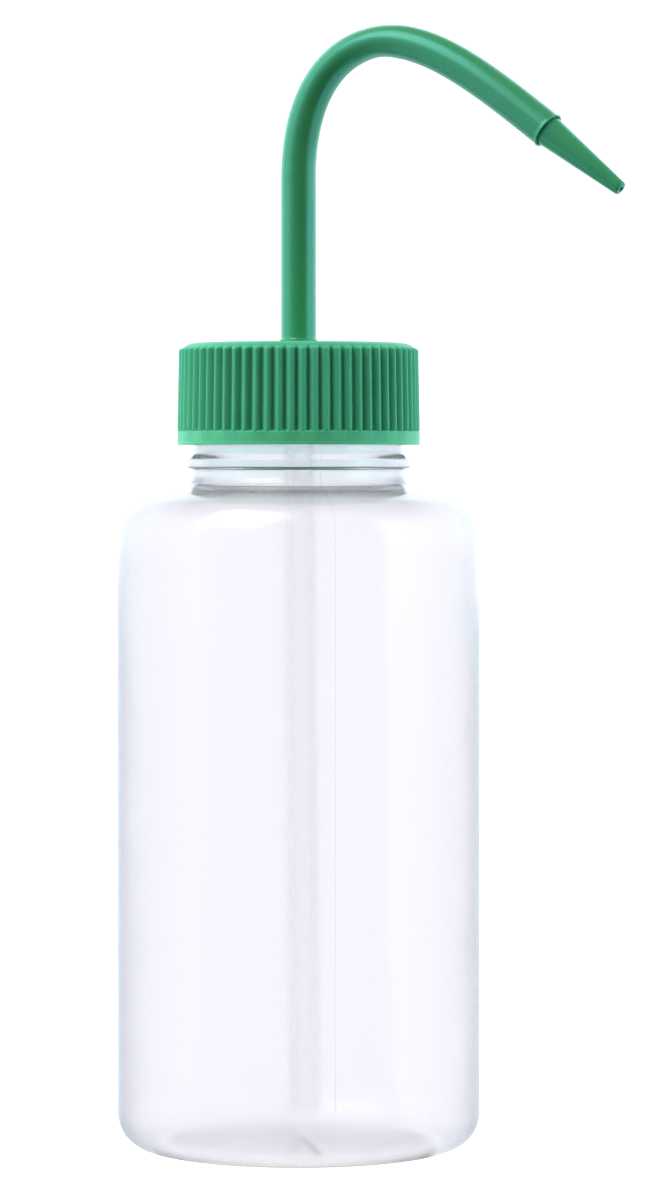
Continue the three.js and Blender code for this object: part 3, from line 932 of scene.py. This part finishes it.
def mark_walls(cap):
    """Says on each vertex where light shows through the band's thin wall, painted as a paler green
    that the stops behind it leave darker as painted shade, and how deep it lies in a groove,
    painted as a darker green for the shade there."""
    places = np.empty(len(cap.data.vertices) * 3)
    cap.data.vertices.foreach_get("co", places)
    x, y, z = places.reshape(-1, 3).T / MM
    # Painted light: the band is paler between the stops and below them, and the stops behind it
    # stay darker as patches of painted shade.
    pitch = FULL_TURN / LUG_COUNT
    angle = np.arctan2(y, x)
    turn = angle - LUG_TURN
    off_lug = np.abs(turn - pitch * np.round(turn / pitch)) * CAP_BORE
    beside = smooth_step(off_lug, LUG_WIDTH / 2 - 0.3, LUG_WIDTH / 2 + 0.5)
    in_band = 1 - smooth_step(z, BAND_TOP - 0.3, BAND_TOP + 0.2)
    below_lug = 1 - smooth_step(z, BAND_TOP - LUG_HEIGHT - 0.5, BAND_TOP - LUG_HEIGHT + 0.2)
    thin = in_band * np.maximum(beside, below_lug)
    mark_points(cap, "band_light_through", thin)
    # Painted shade: the deeper a place lies in a groove between ribs, the darker its green.
    wave = np.abs(np.cos((angle - RIB_TURN) * RIB_COUNT / 2))
    on_ribs = smooth_step(z, BAND_TOP, BAND_TOP + 0.4) * (1 - smooth_step(z, RIB_TOP - 1, RIB_TOP))
    outer = np.hypot(x, y) > ROOT_RADIUS_TOP - 0.3
    groove_shade = outer * on_ribs * (1 - smooth_step(wave, 0.1, 0.75))
    mark_points(cap, "groove_shade", groove_shade)


# ------------------------------------------------------------------ sealing ring


def make_sealing_ring():
    section = box_section(SEAL_BORE, seal_high.x, seal_low.z, seal_high.z, seal_low.z + 0.5)
    outline = np.array(rounded(section, 0.25)[:-1])
    angles = angles_round(128)
    grid = turned_grid(*spun(outline, angles), angles)
    piece = skinned("seal_ring", grid, closed=True)
    piece.data.materials.append(seal_polythene())
    return piece


# ------------------------------------------------------------------ spout


def bezier(points, share):
    a, b, c, d = (np.array(p, float) for p in points)
    s = np.asarray(share)[:, None]
    return (1 - s) ** 3 * a + 3 * (1 - s) ** 2 * s * b + 3 * (1 - s) * s * s * c + s**3 * d


def spout_path():
    """Evenly spaced stations along the bent spout: x, z, heading and arc length."""
    x, z = APEX
    outlet = np.array(OUTLET)
    shares = np.linspace(0, 1, 400)
    climb = [(0, BEND_START), (0, BEND_START + BEND_START_HANDLE), (x - APEX_HANDLE_IN, z), APEX]
    fall = [APEX, (x + APEX_HANDLE_OUT, z), outlet - OUTLET_RUN * OUTLET_HANDLE, outlet]
    line = np.vstack([bezier(climb, shares), bezier(fall, shares)[1:]])
    length = np.concatenate([[0], np.cumsum(np.hypot(*np.diff(line, axis=0).T))])
    even = np.linspace(0, length[-1], SPOUT_STATIONS)
    places = np.stack([np.interp(even, length, line[:, i]) for i in (0, 1)], axis=1)
    heading = np.unwrap(np.arctan2(*np.gradient(places, axis=0).T[::-1]))
    return places, heading, even


def tube_rows(centres, headings, radii, flats):
    """Rings of points square to a line in the XZ plane, narrowed in that plane by flats."""
    turn = angles_round(SPOUT_SIDES)
    narrow = (radii * (1 - BEND_FLATTENING * flats))[:, None] * np.cos(turn)
    wide = (radii * (1 + BEND_WIDENING * flats))[:, None] * np.sin(turn)
    x = centres[:, 0:1] + narrow * np.sin(headings)[:, None]
    z = centres[:, 1:2] - narrow * np.cos(headings)[:, None]
    return np.stack([x, wide + 0 * x, z], axis=-1)


def make_delivery_tube():
    places, heading, along = spout_path()
    bend = np.abs(np.gradient(heading, along))
    padded = np.pad(bend, BEND_WINDOW // 2, mode="edge")
    bend = np.convolve(padded, np.ones(BEND_WINDOW) / BEND_WINDOW, mode="valid")
    flats = (bend / bend.max()) ** 2
    up = math.pi / 2
    flange_top = SLEEVE_BOTTOM - FLANGE_GAP
    foot = CAP_TOP + HOLE_LIP_HEIGHT + FOOT_BEAD_GAP
    stem = rounded(
        [
            (DIP_SOCKET, tube_low.z),
            (SPOUT_RADIUS, tube_low.z),
            (SPOUT_RADIUS, flange_top - FLANGE_HEIGHT),
            (FLANGE_RADIUS, flange_top - FLANGE_HEIGHT),
            (FLANGE_RADIUS, flange_top),
            (SPOUT_RADIUS, flange_top),
            (SPOUT_RADIUS, foot),
            (FOOT_BEAD_RADIUS, foot),
            (FOOT_BEAD_RADIUS, foot + FOOT_BEAD_HEIGHT - 0.2),
            (SPOUT_RADIUS, foot + FOOT_BEAD_HEIGHT),
            (SPOUT_RADIUS, BEND_START - 0.5),
        ],
        0.2,
        3,
    )
    stem = np.array(filled(stem, STEM_ROW))
    lip_start = int(np.searchsorted(along, along[-1] - LIP_LENGTH))
    # The cut end is rolled out into a thin lip, whose last row turns in to the bore.
    lip_along, flare = np.array([*LIP_PROFILE, (0.0, 0.0)]).T
    lip_outer = SPOUT_RADIUS + (LIP_RADIUS - SPOUT_RADIUS) * flare
    lip_outer[-1] = LIP_BORE + 0.05
    lip_centres = np.array(OUTLET) + lip_along[:, None] * LIP_LENGTH * OUTLET_RUN
    straight = np.zeros((len(stem), 2))
    straight[:, 1] = stem[:, 1]

    outer_centres = np.vstack([straight, places[:lip_start], lip_centres])
    outer_heads = np.concatenate(
        [np.full(len(stem), up), heading[:lip_start], np.full(len(lip_along), -OUTLET_SLOPE)]
    )
    outer_radii = np.concatenate([stem[:, 0], np.full(lip_start, SPOUT_RADIUS), lip_outer])
    outer_flats = np.concatenate(
        [np.zeros(len(stem)), flats[:lip_start], np.zeros(len(lip_along))]
    )

    inner_along = np.array([0.0, -0.8, -1.6]) * LIP_LENGTH
    inner_centres = np.array(OUTLET) + inner_along[:, None] * OUTLET_RUN
    bore_end = int(np.searchsorted(along, along[-1] - 3 * LIP_LENGTH))
    bore = np.arange(bore_end, -1, -4)
    socket = np.array(
        [
            (SPOUT_BORE, DIP_SOCKET_TOP + 12),
            (SPOUT_BORE, DIP_SOCKET_TOP),
            (DIP_SOCKET, DIP_SOCKET_TOP),
            (DIP_SOCKET, tube_low.z + 0.3),
        ]
    )
    low = np.zeros((len(socket), 2))
    low[:, 1] = socket[:, 1]
    inner_centres = np.vstack([inner_centres, places[bore], low])
    inner_heads = np.concatenate(
        [np.full(len(inner_along), -OUTLET_SLOPE), heading[bore], np.full(len(socket), up)]
    )
    inner_radii = np.concatenate(
        [[LIP_BORE, LIP_BORE, SPOUT_BORE], np.full(len(bore), SPOUT_BORE), socket[:, 0]]
    )
    inner_flats = np.concatenate([np.zeros(len(inner_along)), flats[bore], np.zeros(len(socket))])

    outer = tube_rows(outer_centres, outer_heads, outer_radii, outer_flats)
    inner = tube_rows(inner_centres, inner_heads, inner_radii, inner_flats)
    piece = skinned("spout_tube", np.vstack([outer, inner]), closed=True)
    piece.data.materials.append(green_tube_plastic())
    return piece


def make_jet_tip(finish):
    corners = [
        (JET_SPIGOT_BORE, -JET_SPIGOT_LENGTH + 0.5),
        (JET_SPIGOT_BORE, -JET_SPIGOT_LENGTH),
        (JET_SPIGOT_RADIUS, -JET_SPIGOT_LENGTH),
        (JET_SPIGOT_RADIUS, -JET_SEAT),
        (JET_BASE_RADIUS, -JET_SEAT),
    ]
    cone_foot = (JET_BASE_RADIUS - 0.1, JET_FOOT_LENGTH)
    cone_end = (JET_END_RADIUS, JET_LENGTH - JET_END_LENGTH)
    body = rounded([*corners, cone_foot], 0.15, 2)
    cone = filled([cone_foot, cone_end], JET_ROW)
    end = rounded(
        [
            cone[-1],
            (JET_END_RADIUS - 0.12, JET_LENGTH - 0.1),
            (JET_ORIFICE + 0.12, JET_LENGTH),
            (JET_ORIFICE, JET_LENGTH - 0.3),
            (JET_ORIFICE, JET_LENGTH * 0.75),
            (JET_SPIGOT_BORE, 0),
            (JET_SPIGOT_BORE, -JET_SPIGOT_LENGTH + 0.5),
        ],
        JET_ROUNDING,
        6,
    )
    outline = np.array(body + cone[1:] + end[1:-1])
    centres = np.array(OUTLET) + outline[:, 1:2] * OUTLET_RUN
    heads = np.full(len(outline), -OUTLET_SLOPE)
    grid = tube_rows(centres, heads, outline[:, 0], np.zeros(len(outline)))
    piece = skinned("jet_nozzle", grid, closed=True)
    piece.data.materials.append(finish)
    return piece


def make_dip_tube():
    section = box_section(DIP_BORE, DIP_RADIUS, dip_low.z, dip_high.z, dip_low.z + 1)
    outline = np.array(filled(rounded(section, 0.15, 3)[:-1], DIP_ROW))
    angles = angles_round(64)
    grid = turned_grid(*spun(outline, angles), angles)
    # Below its socket the soft tube leans a little.
    below = np.clip((tube_low.z - grid[:, :, 2]) / (tube_low.z - dip_low.z), 0, 1)
    lean = DIP_LEAN * below**DIP_LEAN_POWER
    grid[:, :, 0] += lean * math.cos(DIP_LEAN_TURN)
    grid[:, :, 1] += lean * math.sin(DIP_LEAN_TURN)
    piece = skinned("draw_tube", grid, closed=True)
    piece.data.materials.append(natural_tubing())
    return piece


# ------------------------------------------------------------------ studio

CAMERA_TURN = math.radians(27)  # the camera stands this far round from -Y, towards +X
CAMERA_DISTANCE = 1026.0
CAMERA_HEIGHT = 144.2
CAMERA_LENS = 147.0
AIM_HEIGHT = 114.9
AIM_RIGHT = 5.2
SENSOR_WIDTH = 36.0
NEAR_CLIP = 50.0
FAR_CLIP = 50000.0

SOFTBOX_TURN = math.radians(-50)
SOFTBOX_RISE = math.radians(52)
SOFTBOX_DISTANCE = 900.0
SOFTBOX_SIZE = (600.0, 700.0)
SOFTBOX_WATTS = 4.5
SOFTBOX_AIM = 150.0  # the height that it looks at


def toward(turn):
    """The level direction that lies turn round from the camera, anticlockwise from above."""
    angle = CAMERA_TURN + turn
    return Vector((math.sin(angle), -math.cos(angle), 0))


def make_camera():
    camera = bpy.data.objects.new("camera", bpy.data.cameras.new("camera"))
    bpy.context.scene.collection.objects.link(camera)
    bpy.context.scene.camera = camera
    camera.data.lens = CAMERA_LENS
    camera.data.sensor_width = SENSOR_WIDTH
    camera.data.clip_start = NEAR_CLIP * MM
    camera.data.clip_end = FAR_CLIP * MM
    right = toward(math.pi / 2)
    camera.location = (toward(0) * CAMERA_DISTANCE + Vector((0, 0, CAMERA_HEIGHT))) * MM
    aim = (right * AIM_RIGHT + Vector((0, 0, AIM_HEIGHT))) * MM
    camera.rotation_euler = (aim - camera.location).to_track_quat("-Z", "Y").to_euler()


def make_softbox():
    """A rectangular light to the camera's left, above the horizon, that looks at the bottle."""
    lamp = bpy.data.lights.new("key_softbox", "AREA")
    lamp.shape = "RECTANGLE"
    lamp.size, lamp.size_y = (side * MM for side in SOFTBOX_SIZE)
    lamp.energy = SOFTBOX_WATTS
    box = bpy.data.objects.new("key_softbox", lamp)
    bpy.context.scene.collection.objects.link(box)
    level = toward(SOFTBOX_TURN) * math.cos(SOFTBOX_RISE)
    way = level + Vector((0, 0, math.sin(SOFTBOX_RISE)))
    box.location = (Vector((0, 0, SOFTBOX_AIM)) + way * SOFTBOX_DISTANCE) * MM
    box.rotation_euler = (-way).to_track_quat("-Z", "Y").to_euler()


def ray_kinds(tree):
    """Two switches of 0 or 1: a look straight at a thing, and a look that passed a clear wall."""
    path = node(tree, "ShaderNodeLightPath").outputs
    through = node(
        tree, "ShaderNodeMath", {0: path["Transmission Depth"], 1: 1.0}, operation="MINIMUM"
    ).outputs[0]
    return path["Is Camera Ray"], through


# Brightness of the room's walls round the bottle, by degrees from the camera to its right
ROOM = (
    (-180, 2.3),
    (-130, 2.1),
    (-105, 1.4),
    (-90, 1.4),
    (-66, 1.9),
    (-61, 0.9),
    (-30, 0.15),
    (-5, 0.03),
    (54, 0.02),
    (59, 2.6),
    (75, 2.2),
    (100, 1.6),
    (130, 2.1),
    (180, 2.3),
)
ROOM_TINT = (0.85, 1.0, 1.15)
CEILING = 0.35
BACKDROP = 1.25
THROUGH_CLEAR = 1.09  # what a clear wall lets through of the backdrop
FLOOR_GLOW = 0.85
FLOOR_GREY = 0.93
FLOOR_SHARE = 0.5  # how bright the floor is beside the wall above it
FLOOR_REACH = 4000.0
CEILING_EDGES = (0.5, 0.85)  # sine of the rise where the walls end and the ceiling is full


def room_level(tree, way):
    """The brightness of the room in a direction from the bottle."""
    right, near = (
        node(
            tree, "ShaderNodeVectorMath", {0: way, 1: tuple(toward(turn))}, operation="DOT_PRODUCT"
        ).outputs["Value"]
        for turn in (math.pi / 2, 0)
    )
    turn = node(tree, "ShaderNodeMath", {0: right, 1: near}, operation="ARCTAN2").outputs[0]
    ramp = node(tree, "ShaderNodeValToRGB", {"Fac": spread(tree, turn, 0, 1, -math.pi, math.pi)})
    stops = ramp.color_ramp.elements
    while len(stops) < len(ROOM):
        stops.new(0.5)
    for stop, (degrees, level) in zip(stops, ROOM):
        stop.position = (degrees + 180) / 360
        stop.color = (*(level * part for part in ROOM_TINT), 1)
    return ramp.outputs["Color"]


def make_world():
    world = bpy.data.worlds.new("white_studio")
    bpy.context.scene.world = world
    world.use_nodes = True
    sky = world.node_tree
    background = next(n for n in sky.nodes if n.type == "BACKGROUND")
    way = node(sky, "ShaderNodeTexCoord").outputs["Generated"]
    parts = node(sky, "ShaderNodeSeparateXYZ", {"Vector": way}).outputs
    high = node(
        sky,
        "ShaderNodeMapRange",
        {"Value": parts["Z"], "From Min": CEILING_EDGES[0], "From Max": CEILING_EDGES[1]},
        interpolation_type="SMOOTHSTEP",
    ).outputs["Result"]
    direct, through = ray_kinds(sky)
    level = blended(sky, high, room_level(sky, way), grey(CEILING))
    level = blended(sky, through, level, grey(THROUGH_CLEAR))
    level = blended(sky, direct, level, grey(BACKDROP))
    sky.links.new(level, background.inputs["Color"])
    background.inputs["Strength"].default_value = 1.0


def make_floor():
    corners = ((-1, -1, 0), (1, -1, 0), (1, 1, 0), (-1, 1, 0))
    floor = finished_mesh("floor", np.array(corners) * FLOOR_REACH, [(0, 1, 2, 3)])
    paper, tree, shader = material("white_paper")
    direct, through = ray_kinds(tree)
    bounce = room_level(tree, object_coordinates(tree))
    bounce = node(
        tree, "ShaderNodeVectorMath", {0: bounce, "Scale": FLOOR_SHARE}, operation="SCALE"
    ).outputs["Vector"]
    glow = blended(tree, through, bounce, grey(THROUGH_CLEAR))
    glow = blended(tree, direct, glow, grey(FLOOR_GLOW))
    tree.links.new(glow, shader.inputs["Emission Color"])
    tree.links.new(blended(tree, direct, grey(0), grey(FLOOR_GREY)), shader.inputs["Base Color"])
    settle(shader, {"Emission Strength": 1.0, "Roughness": 0.9, "Specular IOR Level": 0.0})
    floor.data.materials.append(paper)


def make_studio():
    make_floor()
    make_world()
    make_softbox()


LIGHT_BOUNCES = 24  # light crosses eight surfaces in the bottle and dip tube, and often more

scene = bpy.context.scene
scene.view_settings.view_transform = "Standard"
scene.cycles.max_bounces = LIGHT_BOUNCES
scene.cycles.transmission_bounces = LIGHT_BOUNCES
make_camera()
make_studio()

bottle = make_bottle()
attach(bottle, "bottle")
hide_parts("bottle")

seal = make_sealing_ring()
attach(seal, "seal")
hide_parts("sealing_ring")

cap = make_screw_cap()
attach(cap, "cap")
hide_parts("screw_cap")

spout = make_delivery_tube()
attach(spout, "spout")
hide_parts("delivery_tube")

jet = make_jet_tip(spout.data.materials[0])
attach(jet, "spout")
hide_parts("jet_tip")

dip = make_dip_tube()
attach(dip, "spout")
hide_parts("dip_tube")
